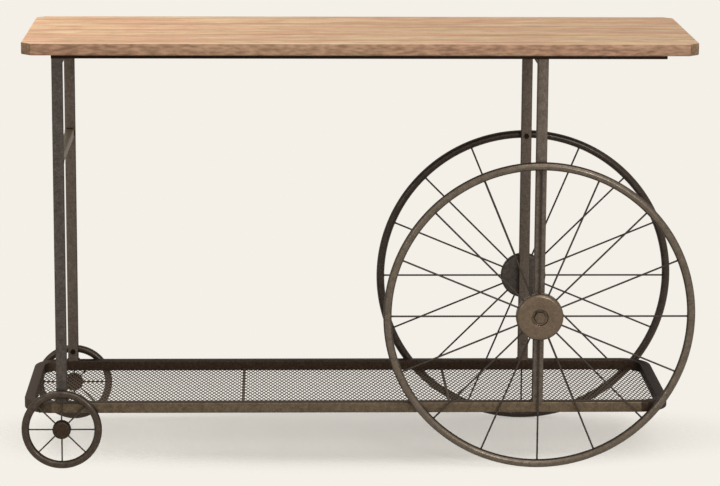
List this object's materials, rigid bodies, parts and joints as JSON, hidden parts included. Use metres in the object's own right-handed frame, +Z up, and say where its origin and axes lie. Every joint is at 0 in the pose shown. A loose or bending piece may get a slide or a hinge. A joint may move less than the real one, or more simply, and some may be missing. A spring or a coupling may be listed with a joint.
{
  "type": "console table",
  "caption": "Console table with a board top on square-tube legs, a mesh-floored tray below, and fixed wire-spoked wheels, big ones at one end and small ones at the other.",
  "frame": {"origin": "on the floor, under the middle of the overall length and depth", "axes": "+Z up, +X along the top from the small wheels to the big ones, -Y towards the viewer at the front"},
  "size_m": [1.3944, 0.4426, 0.892],
  "materials": {
    "bronze_steel": "dark bronze powder coat, satin",
    "bronze_hub": "dark bronze powder coat, satin, rubbed lighter on the edges",
    "bronze_fastener": "dark bronze powder coat",
    "zinc_fastener": "zinc plated",
    "oak_board": "light brown stain under satin lacquer",
    "mesh_steel": "dark bronze powder coat, matt"
  },
  "bodies": {
    "root": {"back_big_wheel_rim": "bronze_steel", "back_big_wheel_spokes": "bronze_steel", "back_small_wheel_spokes": "bronze_steel", "big_wheel_hub_caps": "bronze_hub", "big_wheel_hub_cores": "bronze_hub", "front_big_wheel_rim": "bronze_steel", "front_big_wheel_spokes": "bronze_steel", "front_small_wheel_spokes": "bronze_steel", "hub_bolts": "bronze_fastener", "hub_nuts": "zinc_fastener", "leg_back_left": "bronze_steel", "leg_back_right": "bronze_steel", "leg_front_left": "bronze_steel", "leg_front_right": "bronze_steel", "leg_tie_middle_left": "bronze_steel", "leg_tie_top_left": "bronze_steel", "leg_tie_top_right": "bronze_steel", "rim_bolts": "bronze_fastener", "small_wheel_hubs": "bronze_hub", "small_wheel_rims": "bronze_steel", "subframe_bar_back": "bronze_steel", "subframe_bar_front": "bronze_steel", "subframe_bar_left": "bronze_steel", "subframe_bar_right": "bronze_steel", "top_board_1": "oak_board", "top_board_2": "oak_board", "top_board_3": "oak_board", "top_board_4": "oak_board", "tray_back_rail": "bronze_steel", "tray_front_rail": "bronze_steel", "tray_left_bend": "bronze_steel", "tray_mesh": "mesh_steel", "tray_right_bend": "bronze_steel", "tray_rod_left": "mesh_steel", "tray_rod_right": "mesh_steel"}
  },
  "joints": []
}
